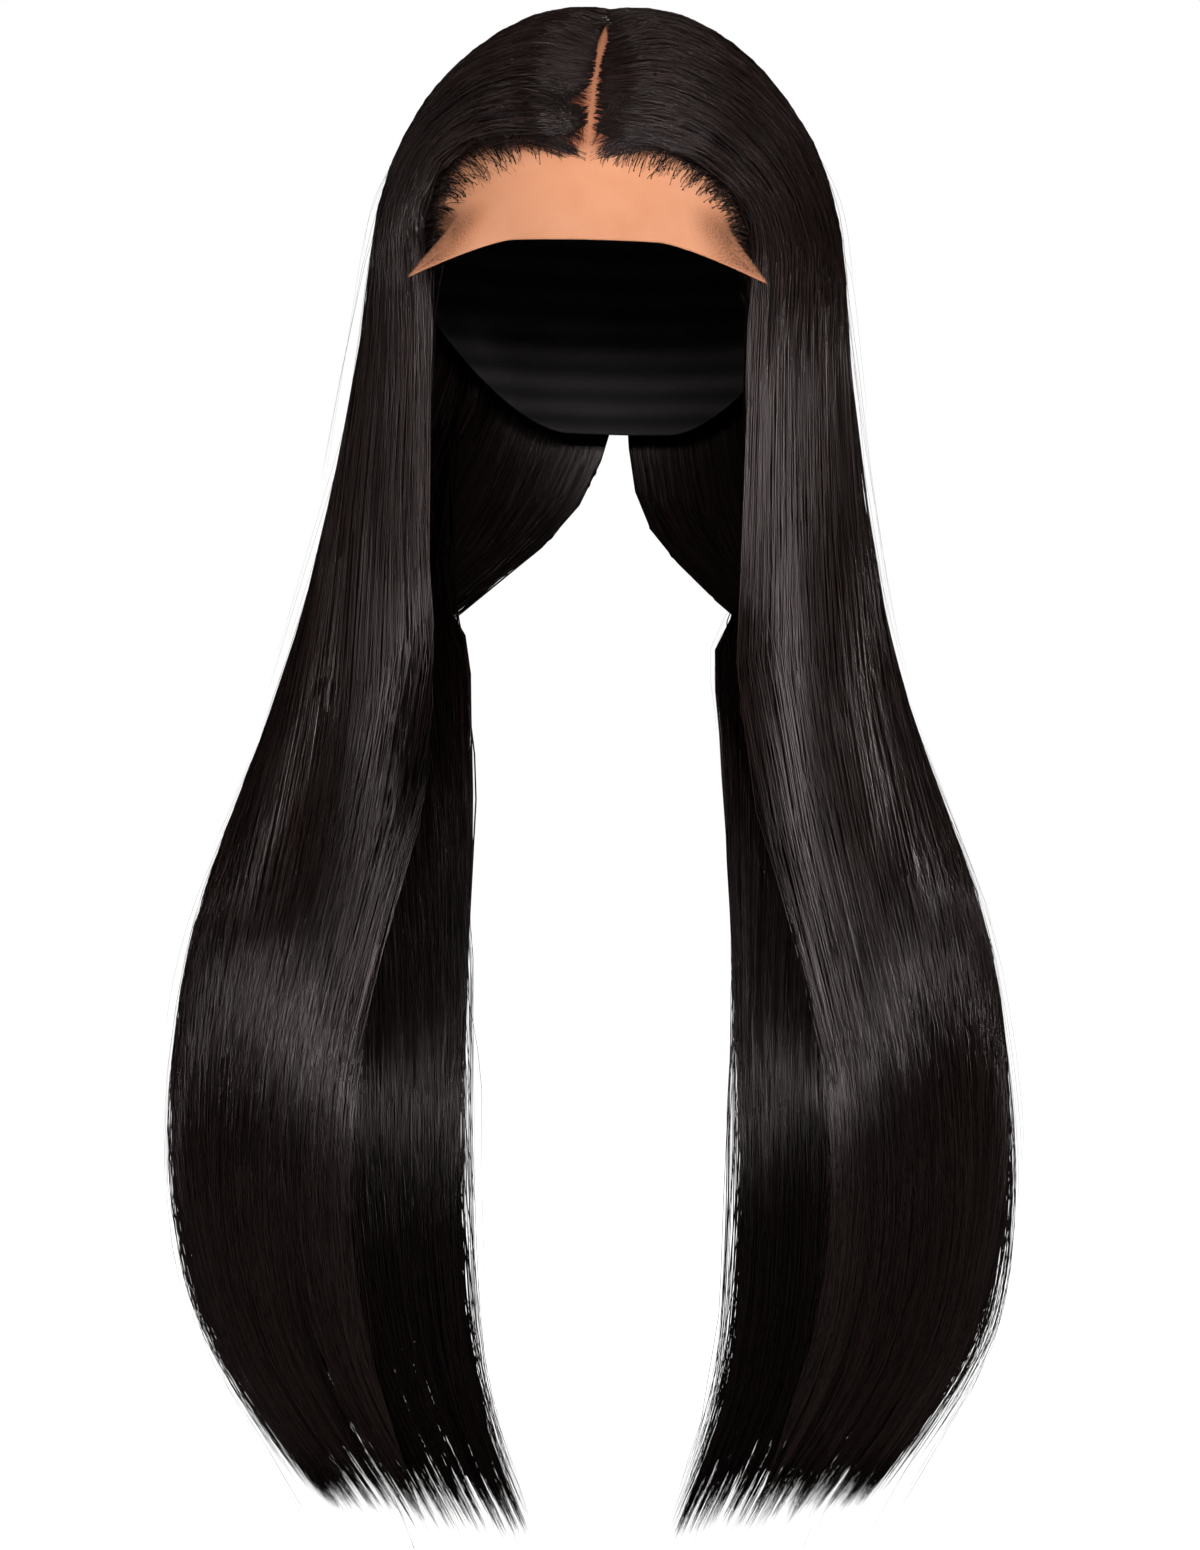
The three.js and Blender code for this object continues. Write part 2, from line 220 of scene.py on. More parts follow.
# Points in the hair: s across it from its front edge, u along it from the parting,
# d the share of its thickness
def inHair(surface, s, u, d, out=0.0):
    rows, columns = surface["thick"].shape
    x = np.clip((s - gridFrom) / (gridTo - gridFrom) * (rows - 1), 0, rows - 1.001)
    y = np.clip(u * gridPerStep, 0, columns - 1.001)
    i, j = x.astype(int), y.astype(int)
    fx, fy = x - i, y - j

    def read(grid):
        a, b = (fx, fy) if grid.ndim == 2 else (fx[..., None], fy[..., None])
        return ((grid[i, j] * (1 - a) + grid[i + 1, j] * a) * (1 - b)
                + (grid[i, j + 1] * (1 - a) + grid[i + 1, j + 1] * a) * b)

    normal = unit(read(surface["normal"]))
    return read(surface["base"]) + normal * (read(surface["thick"]) * d + out)[..., None], normal


def newObject(name, verts, loops, sizes, uv):
    mesh = bpy.data.meshes.new(name)
    mesh.vertices.add(len(verts))
    mesh.vertices.foreach_set("co", np.ascontiguousarray(verts, np.float32).ravel())
    mesh.loops.add(len(loops))
    mesh.polygons.add(len(sizes))
    starts = np.concatenate([[0], np.cumsum(sizes)[:-1]])
    mesh.polygons.foreach_set("loop_start", starts.astype(np.int32))
    mesh.polygons.foreach_set("vertices", np.ascontiguousarray(loops, np.int32))
    layer = mesh.uv_layers.new(name="OFBake")
    layer.uv.foreach_set("vector", np.ascontiguousarray(uv, np.float32).ravel())
    mesh.update(calc_edges=True)
    mesh.validate()
    obj = bpy.data.objects.new(name, mesh)
    bpy.context.collection.objects.link(obj)
    return obj


# The strands' map: shades of hair side by side in strips, and the part of a strip and of its length in use
strips = 128
strandMap = {"acrossFrom": 0.15, "acrossWide": 0.7, "alongFrom": 0.02, "alongWide": 0.96}
ring = 3  # points round a strand


# Faces of a closed tube from tip to tip, with k points along: corners, corners of each face, and their
# places across and along
def tubeFaces(k):
    loops, sizes, place = [], [], []
    tip = ring * (k - 2) + 1
    turns = [(j, (j + 1) % ring) for j in range(ring)]
    for here, after in turns:
        loops += [0, 1 + here, 1 + after]
        place += [(0.5, 0), (0, 1), (1, 1)]
        sizes.append(3)
    for r in range(k - 3):
        for here, after in turns:
            a, b = 1 + ring * r + here, 1 + ring * r + after
            loops += [a, a + ring, b + ring, b]
            place += [(0, r + 1), (0, r + 2), (1, r + 2), (1, r + 1)]
            sizes.append(4)
    for here, after in turns:
        loops += [tip - ring + here, tip, tip - ring + after]
        place += [(0, k - 2), (0.5, k - 1), (1, k - 2)]
        sizes.append(3)
    return np.array(loops), sizes, np.array(place, float)


# Strands as one mesh of closed tubes: points and outward directions (n, k, 3), radius and place along (n, k)
def strandObject(name, groups):
    allVerts, allLoops, allSizes, allUv, first = [], [], [], [], 0
    for points, outward, radius, shade, along in groups:
        n, k = radius.shape
        tangent = unit(np.gradient(points, axis=1))
        across = unit(np.cross(tangent, outward))
        up = np.cross(across, tangent)
        angle = math.pi / 2 + np.arange(ring) * 2 * math.pi / ring
        turn = np.cos(angle)[:, None] * across[:, 1:-1, None] + np.sin(angle)[:, None] * up[:, 1:-1, None]
        rings = points[:, 1:-1, None] + turn * radius[:, 1:-1, None, None]
        verts = np.concatenate([points[:, :1], rings.reshape(n, -1, 3), points[:, -1:]], axis=1)
        loops, sizes, place = tubeFaces(k)
        strip = np.floor(np.clip(shade, 0, 0.9999) * strips)
        inStrip = strandMap["acrossFrom"] + strandMap["acrossWide"] * place[None, :, 0]
        uvx = (strip[:, None] + inStrip) / strips
        reached = np.clip(along, 0, 1)[:, place[:, 1].astype(int)]
        uvy = strandMap["alongFrom"] + strandMap["alongWide"] * reached
        allUv.append(np.stack([uvx, uvy], axis=2).reshape(-1, 2))
        allLoops.append((loops[None] + first + np.arange(n)[:, None] * verts.shape[1]).ravel())
        allSizes.append(np.tile(sizes, n))
        allVerts.append(verts.reshape(-1, 3))
        first += n * verts.shape[1]
    return newObject(name, *[np.concatenate(part) for part in (allVerts, allLoops, allSizes, allUv)])


wallMap = {"outer": 0.01, "inner": 0.51, "wide": 0.48, "rim": 0.004}  # where each side lies on its map


# A closed wall between two grids of points, outer and inner
def wallObject(name, outer, inner):
    rows, columns = outer.shape[:2]
    index = np.arange(rows * columns).reshape(rows, columns)
    a, b, c, d = index[:-1, :-1], index[1:, :-1], index[1:, 1:], index[:-1, 1:]
    face = np.stack([a, b, c, d], -1).reshape(-1, 4)
    size = rows * columns
    rim = [(index[:-1, 0], index[1:, 0]), (index[-1, :-1], index[-1, 1:]),
           (index[1:, -1][::-1], index[:-1, -1][::-1]), (index[0, 1:][::-1], index[0, :-1][::-1])]
    border = np.concatenate([np.stack([p, p + size, q + size, q], -1) for p, q in rim])
    loops = np.concatenate([face, face[:, ::-1] + size, border])
    verts = np.concatenate([outer.reshape(-1, 3), inner.reshape(-1, 3)])
    volume = 0
    for corner in (verts[face], verts[face[:, ::-1] + size]):
        volume += np.einsum("ij,ij->i", corner[:, 0], np.cross(corner[:, 1], corner[:, 2])).sum()
    if volume < 0:  # faces point outwards
        loops = loops[:, ::-1]
    gx, gy = np.meshgrid(np.linspace(0, 1, columns), np.linspace(0, 1, rows))
    starts = (wallMap["outer"], wallMap["inner"])
    place = np.concatenate([np.stack([x + wallMap["wide"] * gx, gy], -1).reshape(-1, 2) for x in starts])
    uv = place[loops]
    edge, rimLoops = uv[len(face) * 2:], loops[len(face) * 2:]
    beside = place[rimLoops - size, 0] + wallMap["rim"]
    edge[..., 0] = np.where(rimLoops >= size, beside, edge[..., 0])
    return newObject(name, verts, loops.ravel(), np.full(len(loops), 4), uv.reshape(-1, 2))


def newMaterial(name):
    material = bpy.data.materials.new(name)
    material.use_nodes = True
    nodes = material.node_tree.nodes
    return material, nodes, nodes["Principled BSDF"]


# Sets inputs of a shader node, each to a value or to an outlet of another node
def fill(node, inputs):
    for socket, value in inputs.items():
        if isinstance(value, tuple) and isinstance(value[0], bpy.types.Node):
            source, outlet = value
            node.id_data.links.new(source.outputs[outlet], node.inputs[socket])
        else:
            node.inputs[socket].default_value = value


def addNode(nodes, kind, inputs=None, **settings):
    node = nodes.new("ShaderNode" + kind)
    for setting, value in settings.items():
        setattr(node, setting, value)
    fill(node, inputs or {})
    return node


hairFinish = {
    "black": (0.0016, 0.0010, 0.0010), "brown": (0.021, 0.011, 0.009),
    "streaks": (420, 3.5, 1), "detail": 3.0,  # of the noise, across and along the strands' map
    "blackTo": 0.40, "brownFrom": 0.66,  # levels of the noise
    "smooth": 0.18, "rough": 0.30, "smoothTo": 0.3, "roughFrom": 0.7,
    "shine": 0.34, "shineTint": (1.0, 0.86, 0.87),
    "massShine": 0.2, "massShadeTone": 0.35, "massRelief": 0.0006,  # of the hair beneath the strands, whose darker tone is painted shade
    "backShine": 0.2, "backShadeTone": 0.4,  # of the hair from the back, which lies in the shade of the front hair: that shade is painted into its darker tone
}


# Lengthwise streaks for hair: black to warm brown, and where it is smoother
def hairStreakGroup():
    group = bpy.data.node_groups.new("hairStreaks", "ShaderNodeTree")
    group.interface.new_socket("Map", in_out="INPUT", socket_type="NodeSocketVector")
    outlets = {"Colour": "NodeSocketColor", "Roughness": "NodeSocketFloat", "Height": "NodeSocketFloat"}
    for name, kind in outlets.items():
        group.interface.new_socket(name, in_out="OUTPUT", socket_type=kind)
    nodes, look = group.nodes, hairFinish
    start, end = nodes.new("NodeGroupInput"), nodes.new("NodeGroupOutput")
    stretch = addNode(nodes, "VectorMath", {0: (start, "Map"), 1: look["streaks"]}, operation="MULTIPLY")
    fine = addNode(nodes, "TexNoise", {"Vector": (stretch, 0), "Scale": 1.0, "Detail": look["detail"]},
                   noise_dimensions="2D")
    ramp = addNode(nodes, "ValToRGB", {"Fac": (fine, "Fac")})
    darkest, lightest = ramp.color_ramp.elements
    darkest.position, darkest.color = look["blackTo"], (*look["black"], 1)
    lightest.position, lightest.color = look["brownFrom"], (*look["brown"], 1)
    spread = addNode(nodes, "MapRange", {
        "Value": (fine, "Fac"), "From Min": look["smoothTo"], "From Max": look["roughFrom"],
        "To Min": look["smooth"], "To Max": look["rough"]})
    fill(end, {"Colour": (ramp, "Color"), "Roughness": (spread, "Result"), "Height": (fine, "Fac")})
    return group


def hairMaterial(name, streaks, shine, tone, bump):
    material, nodes, surface = newMaterial(name)
    place = addNode(nodes, "UVMap", uv_map="OFBake")
    streak = addNode(nodes, "Group", {"Map": (place, "UV")}, node_tree=streaks)
    # base colour times tone: painted shade for the hair from the back and for the mass beneath the strands,
    # none for the front hair
    darker = addNode(nodes, "Mix", {"Factor": 1.0, "A": (streak, "Colour"), "B": (tone, tone, tone, 1)},
                     data_type="RGBA", blend_type="MULTIPLY")
    fill(surface, {
        "Base Color": (darker, "Result"), "Roughness": (streak, "Roughness"),
        "Specular IOR Level": shine, "Specular Tint": (*hairFinish["shineTint"], 1)})
    if bump:
        relief = addNode(nodes, "Bump", {"Height": (streak, "Height"), "Strength": 0.6, "Distance": bump})
        fill(surface, {"Normal": (relief, "Normal")})
    return material


streaks = hairStreakGroup()
hairMaterials = {
    "front": hairMaterial("strandBlack", streaks, hairFinish["shine"], 1.0, 0),
    "back": hairMaterial("innerStrandBlack", streaks, hairFinish["backShine"], hairFinish["backShadeTone"], 0),
    "under": hairMaterial("massBlack", streaks, hairFinish["massShine"], hairFinish["massShadeTone"],
                          hairFinish["massRelief"]),
}
print("materials for the hair ready")

photoView = {"place": (-0.0054, -2.4, -0.3086), "lens": 133.7, "sensor": 36, "far": 50}
bpy.ops.object.camera_add(location=photoView["place"], rotation=(math.pi / 2, 0, 0))
camera = bpy.context.object
camera.data.lens = photoView["lens"]
camera.data.sensor_width = photoView["sensor"]
camera.data.clip_end = photoView["far"]
bpy.context.scene.camera = camera

studio = {
    "sky": 0.035,
    "floor": (0.3, 0.3, 0.3), "floorRough": 0.9, "floorShine": 0.1, "floorSeen": 1.05,
    "floorSize": 40, "floorBack": 10, "floorBelow": 0.03,  # metres, behind the origin and below the tips
    # soft boxes: place, aim, width, height, watts
    "boxes": {
        "keyLeft": ((-0.55, -2.3, 0.36), (-0.05, 0, -0.38), 0.7, 0.3, 26),
        "keyRight": ((0.55, -2.3, 0.36), (0.05, 0, -0.38), 0.7, 0.3, 31),
        "rear": ((0, 2.4, 0.9), (0, 0, -0.25), 1.6, 0.6, 28),
    },
    # narrow lamps, each for one stretch of the hair: place, aim, cone in degrees, size, watts
    "spots": {
        "crownLeft": ((-1.75, -1.40, 0.28), (-0.035, -0.06, -0.03), 7, 0.15, 75),
        "crownRight": ((1.31, -1.80, 0.35), (0.04, -0.05, -0.025), 6, 0.15, 220),
        "templeLeft": ((-2.2, -0.6, 0.07), (-0.085, -0.03, -0.08), 7, 0.15, 38),
        "templeRight": ((2.07, -0.96, 0.07), (0.075, -0.03, -0.08), 7, 0.15, 45),
        "sideLeft": ((-1.83, -1.02, 0.73), (-0.105, -0.02, -0.20), 8, 0.15, 19),
        "sideRight": ((1.70, -1.37, 0.50), (0.11, -0.02, -0.20), 7, 0.15, 4),
        "shoulderLeft": ((-1.65, -0.76, 1.14), (-0.125, -0.05, -0.275), 7, 0.15, 80),
        "shoulderRight": ((1.68, -0.78, 1.08), (0.105, -0.05, -0.275), 7, 0.15, 180),
    },
}


def aimedLamp(kind, name, place, aim, watts):
    bpy.ops.object.light_add(type=kind, location=place)
    lamp = bpy.context.object
    lamp.name = name
    lamp.data.energy = watts
    way = np.array(aim, float) - np.array(place, float)
    lamp.rotation_euler = (math.atan2(math.hypot(way[0], way[1]), -way[2]), 0, math.atan2(-way[0], way[1]))
    return lamp.data


for lampName, (place, aim, width, height, watts) in studio["boxes"].items():
    lamp = aimedLamp("AREA", lampName, place, aim, watts)
    lamp.shape, lamp.size, lamp.size_y = "RECTANGLE", width, height
for lampName, (place, aim, cone, size, watts) in studio["spots"].items():
    lamp = aimedLamp("SPOT", lampName, place, aim, watts)
    lamp.spot_size, lamp.spot_blend, lamp.shadow_soft_size = math.radians(cone), 1.0, size

# The sky is white to the camera and dim to everything else
world = bpy.data.worlds.new("studioSky")
bpy.context.scene.world = world
world.use_nodes = True
skyNodes = world.node_tree.nodes
seen = addNode(skyNodes, "LightPath")
skyStrength = addNode(skyNodes, "MapRange", {
    "Value": (seen, "Is Camera Ray"), "To Min": studio["sky"], "To Max": 1.0})
fill(skyNodes["Background"], {"Color": (1, 1, 1, 1), "Strength": (skyStrength, "Result")})
bpy.context.scene.view_settings.view_transform = "Standard"

floorPlace = (0, studio["floorBack"], cadBox[0][2] - studio["floorBelow"])
bpy.ops.mesh.primitive_plane_add(size=studio["floorSize"], location=floorPlace)
floor = bpy.context.object
floor.name = "studioFloor"
bpy.ops.object.transform_apply(location=True, rotation=True, scale=True)
floorPaint, floorNodes, floorSurface = newMaterial("palePaint")
floorRay = addNode(floorNodes, "LightPath")
floorGlow = addNode(floorNodes, "Math", {0: (floorRay, "Is Camera Ray"), 1: studio["floorSeen"]},
                    operation="MULTIPLY")
fill(floorSurface, {
    "Base Color": (*studio["floor"], 1), "Roughness": studio["floorRough"],
    "Specular IOR Level": studio["floorShine"],
    "Emission Color": (1, 1, 1, 1), "Emission Strength": (floorGlow, 0)})
floor.data.materials.append(floorPaint)
print("camera, lamps and floor ready")

# Numbers of strands for each body of hair, and of fine hairs
hairStyle = {
    "seed": 11,
    "front": {
        "long": 900, "crown": 950, "ends": 1800, "clumps": 84, "locks": 11, "tufts": 50,
        "freeEdge": 1, "edgeHairs": 95, "edgeZone": 0.36,
    },
    "back": {
        "long": 600, "crown": 250, "ends": 800, "clumps": 60, "locks": 8, "tufts": 42,
        "freeEdge": 0, "edgeHairs": 48, "edgeZone": 0.09,
    },
    "roots": 480, "wisps": 700, "babyHairs": 60, "flyaways": 130,
    "thinSpot": {"side": "left", "at": 0.12, "width": 0.028, "deep": 0.5},  # a sparse place
    "rootSunk": 0.0008,  # metres that the roots begin below the hair's inner side
}


# Smooth noise for places from -0.3 to 1.3
def softNoise(rng, x, period):
    knots = rng.uniform(-1, 1, int(np.ceil(1.6 / period)) + 4)
    y = (np.asarray(x) + 0.3) / period
    i = np.clip(np.floor(y).astype(int), 0, len(knots) - 2)
    f = np.clip(y - i, 0, 1)
    f = f * f * (3 - 2 * f)
    return knots[i] * (1 - f) + knots[i + 1] * f


def wave(cycles):
    return np.sin(2 * math.pi * cycles)


def column(values):
    return np.asarray(values)[:, None]


def between(rng, limits, n):
    return column(rng.uniform(*limits, n))


def evenPlaces(rng, n):
    return (np.arange(n) + rng.random(n)) / n


# Places of the points along each strand: two close to its root, then uneven,
# so that neighbours bend in other places
def unevenSteps(rng, n, k, first=0.03, second=0.35, uneven=0.7):
    steps = np.concatenate([[0, first, second], np.arange(1, k - 2)])[None] + np.zeros((n, 1))
    steps[:, 3:-1] += uneven * (rng.random((n, k - 4)) - 0.5)
    return steps / (k - 3)


rise = {"crown": (0.48, 0.70), "low": 0.10, "higher": 0.85, "way": 1.05, "sooner": 0.88}


# How high the hair stands at its root and on its way: at the crown it is full at once,
# in front it rises later
def risen(hair, s0, away):
    top = column(smoothStep(s0, *rise["crown"])) if hair["freeFront"] else 1.0
    low = rise["low"] + rise["higher"] * top
    return low + (1 - low) * smoothStep(away / (rise["way"] - rise["sooner"] * top), 0, 1)


clumpLook = {
    "pull": (0.10, 0.38), "uneven": 0.2, "curl": (0.2, 1), "pitch": (1.1, 1.9),
    "mixed": 0.004,  # how far across the hair strands change over to a neighbouring clump
}


# Clumps that the strands of one body gather into, and the locks and tufts that the clumps gather into
def clumpsOf(rng, style):
    n = style["clumps"]
    at = (np.arange(n) + rng.uniform(0.1, 0.9, n)) / n
    locks = (np.arange(style["locks"]) + rng.uniform(0.2, 0.8, style["locks"])) / style["locks"]
    tufts = np.sort(rng.random(style["tufts"]))

    def nearest(places):
        return places[np.abs(at[:, None] - places[None]).argmin(1)]

    return {
        "at": at, "tufts": tufts, "tuft": nearest(tufts), "lock": nearest(locks),
        "pull": rng.uniform(*clumpLook["pull"], n), "end": rng.random(n) ** 1.8 * clumpLook["uneven"],
        "phase": rng.random(n), "shade": rng.random(n), "high": rng.uniform(-1, 1, n),
        "curl": rng.uniform(*clumpLook["curl"], n), "pitch": rng.uniform(*clumpLook["pitch"], n),
    }


def nearestClump(rng, clumps, s0):
    places = column(s0 + rng.normal(0, clumpLook["mixed"], len(s0)))
    return np.abs(places - clumps["at"][None]).argmin(1)


def ofClump(clumps, clump, *names):
    return [column(clumps[name][clump]) for name in names]


# Most strands of a clump share its shade
def clumpShade(rng, clumps, clump, share):
    n = len(clump)
    return np.where(rng.random(n) < share, clumps["shade"][clump], rng.random(n))


# On the cap the full hair begins behind the hairline, and comes forward to its front edge as it falls
def behindHairline(surface, s, u):
    edge = np.interp(u, *zip(*surface["edge"]))
    return edge + (1 - edge) * s


hollow = {"deep": 0.0028, "at": 10.75, "width": 0.6, "across": (0.2, 0.42)}  # deep in metres


# A shallow hollow across the inner part of the front hair
def hollowed(hair, s, u):
    inner = 1 - smoothStep(s, *hollow["across"])
    return -hollow["deep"] * hair["freeFront"] * inner * np.exp(-((u - hollow["at"]) / hollow["width"]) ** 2)


def strandRadius(rng, look, n, t):
    thick = between(rng, look["radius"], n) * mm
    root, tip = look["rootThin"], look["tipThin"]
    return thick * (root + (1 - root) * smoothStep(t, 0, 0.1)) * (1 - (1 - tip) * smoothStep(t, 0.6, 1.0))


# Radii, shades and places along for fine hairs
def fineHairs(rng, look, surface, u, points, normal, thinner):
    n = len(points)
    radius = between(rng, look["radius"], n) * mm * (1 - look["taper"] * thinner)
    return points, normal, radius, rng.uniform(*look["shade"], n), u / surface["last"]


def rootStart(start, s0, thin):
    if thin:
        start = start + thin["deep"] * np.exp(-((s0 - thin["at"]) / thin["width"]) ** 2)
    return start


def sunkRoots(away, way):
    return -hairStyle["rootSunk"] * (1 - smoothStep(away, 0, way))


# Draws the first points of each strand back along its way, into the parting
def reachIn(points, far):
    return points - unit(points[:, 1] - points[:, 0])[:, None] * far[..., None]


def turnedIn(u, last):
    tips = smoothStep(u, last - 1.7, last + 0.2) ** 1.6
    lastBit = np.clip((u - last + 0.5) / 0.6, 0, 1) ** 1.5
    return 0.13 * tips + 0.06 * lastBit


# How strands draw together, as shares of the hair's width
gather = {
    "pullFrom": 6.0, "lock": 0.12,
    "closeShare": 0.75, "close": (0.5, 0.95), "open": (0.05, 0.5),  # how far a tuft pulls its tips in
    "sway": 0.007, "tremble": 0.0035,
    "leftOut": 0.6,  # a few strands stay out along the free edges
    "inner": 0.10, "innerZone": 0.14, "outer": 0.32, "outerFrom": 0.4, "back": 0.09, "backZone": 0.2,
}


# Strands draw together into clumps and locks as they fall, and their tips turn in
def gathered(rng, hair, clumps, clump, s0, u, last):
    n, place = len(s0), column(s0)
    at, lock, pull, tuft, phase = ofClump(clumps, clump, "at", "lock", "pull", "tuft", "phase")
    mix = pull * smoothStep(u, gather["pullFrom"], last) ** 1.2
    s = place * (1 - mix) + at * mix + (lock - at) * gather["lock"] * smoothStep(u, last - 3, last) ** 1.5
    held = np.where(rng.random(n) < gather["closeShare"],
                    rng.uniform(*gather["close"], n), rng.uniform(*gather["open"], n))
    tip = column(held) * smoothStep(u, last - 2.2, last - 0.25) ** 1.4
    s = s + (tuft - s) * tip
    s = s - turnedIn(u, last)
    loose = smoothStep(u, 5, last)
    s = s + gather["sway"] * loose * wave(u * 0.16 + phase)
    drawn = column(1 - gather["leftOut"] * rng.random(n) ** 10)
    if hair["freeFront"]:  # its inner edge thins out over the hair from the back
        inner = np.clip(1 - place / gather["innerZone"], 0, 1)
        s = s - gather["inner"] * inner * smoothStep(u, 7, 11)
        outer = np.clip((place - gather["outerFrom"]) / (1 - gather["outerFrom"]), 0, 1) ** 1.3
        s = s - gather["outer"] * drawn * outer * smoothStep(u, last - 4.5, last - 1.5)
    else:
        inner = np.clip((gather["backZone"] - place) / gather["backZone"], 0, 1)
        s = s + gather["back"] * drawn * inner * smoothStep(u, last - 5, last - 2)
    return s + gather["tremble"] * loose * wave(u * 0.37 + column(rng.random(n)))


# In each of these, radii are in millimetres, places along in steps and depths in shares of the thickness
longLook = {
    "points": 16, "radius": (0.26, 0.44), "rootThin": 0.6, "tipThin": 0.3,
    "root": 0.02, "rootLayers": 0.4,  # from the parting: the top layer, and how much later the lowest begins
    "earlyShare": 0.25, "early": 0.5, "late": 0.07, "earliest": 3.5, "past": 0.12,
    "strayShare": 0.1, "stray": 0.011,
    "top": 0.97, "layers": 0.27, "uneven": 0.05, "lowest": 0.06, "highest": 1.04,
    "sameShade": 0.6,
}


# Full-length strands, from the parting to the tips
def longStrands(rng, hair, surface, style, clumps, thin):
    look, n, last = longLook, style["long"], surface["last"]
    t = unevenSteps(rng, n, look["points"])
    s0 = evenPlaces(rng, n)
    layer = rng.random(n)  # 0 is the top layer
    clump = nearestClump(rng, clumps, s0)
    high, phase = ofClump(clumps, clump, "high", "phase")
    root = rootStart(look["root"] + look["rootLayers"] * layer, s0, thin)
    early = np.where(rng.random(n) < look["earlyShare"],
                     rng.exponential(look["early"], n), rng.exponential(look["late"], n))
    short = np.clip(clumps["end"][clump] + early, 0, look["earliest"])
    tip = last - short + look["past"] * rng.random(n)
    u = column(root) + column(tip - root) * t
    away = u - column(root)
    s = gathered(rng, hair, clumps, clump, s0, u, last)
    stray = column(np.where(rng.random(n) < look["strayShare"], look["stray"], 0))
    s = s + stray * smoothStep(u, 3, 9) * wave(u * 0.11 + column(rng.random(n)))
    d = look["top"] - look["layers"] * column(layer) + look["uneven"] * high * smoothStep(u, 1, 5)
    d = d + look["uneven"] * smoothStep(u, 5, last) * wave(u * 0.21 + phase * 3)
    d = np.clip(d, look["lowest"], look["highest"]) * risen(hair, s0, away)
    out = sunkRoots(away, 0.25) + hollowed(hair, s, u)
    points, normal = inHair(surface, behindHairline(surface, s, u), u, d, out)
    shade = clumpShade(rng, clumps, clump, look["sameShade"])
    return points, normal, strandRadius(rng, look, n, t), shade, u / last


crownLook = {
    "points": 15, "radius": (0.22, 0.40), "rootThin": 0.6, "tipThin": 0.25,
    "root": 0.003, "rootLayers": 0.26, "length": (4.2, 8.5),
    "ribbon": 0.5, "curl": 0.0045, "ripple": 0.0018,  # how far strands close up in a ribbon, and their waves
    "top": 0.88, "ridge": 0.12, "uneven": 0.05, "roll": 0.03, "tipSunk": 0.22,
    "reach": (0.2, 1.1),  # millimetres into the parting
    "sameShade": 0.75,
}


# The top layer over the cap, in slightly wavy ribbons
def crownStrands(rng, hair, surface, style, clumps, thin):
    look, n = crownLook, style["crown"]
    t = unevenSteps(rng, n, look["points"])
    s0 = evenPlaces(rng, n)
    clump = nearestClump(rng, clumps, s0)
    at, high, curl, pitch, phase = ofClump(clumps, clump, "at", "high", "curl", "pitch", "phase")
    root = rootStart(look["root"] + look["rootLayers"] * rng.random(n) ** 1.5, s0, thin)
    tip = root + rng.uniform(*look["length"], n)
    u = column(root) + column(tip - root) * t
    away = u - column(root)
    off = column(s0) - at
    calm = 1 - 0.85 * smoothStep(u, 2.5, 6)
    s = column(s0) - look["ribbon"] * off * smoothStep(u, 0.2, 1.2)
    s = s + look["curl"] * curl * calm * wave(u * pitch * 0.55 + phase)
    s = s + look["ripple"] * calm * wave(u * 0.7 + column(rng.random(n)))
    ridge = 1 - np.clip(np.abs(off) * style["clumps"] * 1.5, 0, 1) ** 2
    d = look["top"] + look["ridge"] * ridge + look["uneven"] * high
    d = d + look["roll"] * wave(u * 0.5 + phase * 5) * calm
    d = d * risen(hair, s0, away) * (1 - look["tipSunk"] * smoothStep(t, 0.75, 1))
    points, normal = inHair(surface, behindHairline(surface, s, u), u, d, sunkRoots(away, 0.25))
    atCrown = 1.0 + 1.7 * smoothStep(s0, 0.5, 0.66) - smoothStep(s0, 0.66, 0.8)
    far = mm * rng.uniform(*look["reach"], n) * atCrown
    points = reachIn(points, column(far) * (1 - smoothStep(away, 0, 0.2)))
    shade = clumpShade(rng, clumps, clump, look["sameShade"])
    return points, normal, strandRadius(rng, look, n, t), shade, u / surface["last"]


endLook = {
    "points": 10, "first": 0.1, "radius": (0.14, 0.27), "rootThin": 0.3, "tipThin": 0.45,
    "length": (2.0, 4.2), "uneven": 0.8, "early": 0.09, "past": 0.14, "spread": 0.009,
    "depth": (0.2, 1.0), "sameShade": 0.6,
}


# Short finer strands that fill the hair out towards its tips
def endStrands(rng, hair, surface, style, clumps):
    look, n, last = endLook, style["ends"], surface["last"]
    t = unevenSteps(rng, n, look["points"], look["first"])
    s0 = evenPlaces(rng, n)
    clump = nearestClump(rng, clumps, s0)
    tip = last - clumps["end"][clump] * look["uneven"] - rng.exponential(look["early"], n)
    tip = tip + look["past"] * rng.random(n)
    begin = last - rng.uniform(*look["length"], n)
    u = column(begin) + column(tip - begin) * t
    s = gathered(rng, hair, clumps, clump, s0, u, last)
    s = s + column(rng.normal(0, look["spread"], n)) * smoothStep(u, last - 0.7, last)
    points, normal = inHair(surface, s, u, between(rng, look["depth"], n))
    shade = clumpShade(rng, clumps, clump, look["sameShade"])
    return points, normal, strandRadius(rng, look, n, t), shade, u / last


edgeLook = {
    "points": 12, "first": 0.1, "radius": (0.11, 0.27), "taper": 0.65, "shade": (0.2, 1),
    "begin": (2.5, 5.5), "length": (2.5, 5), "past": 0.1, "early": 0.25,
    "outside": 0.02, "sway": 0.008, "depth": (0.1, 0.95),
}


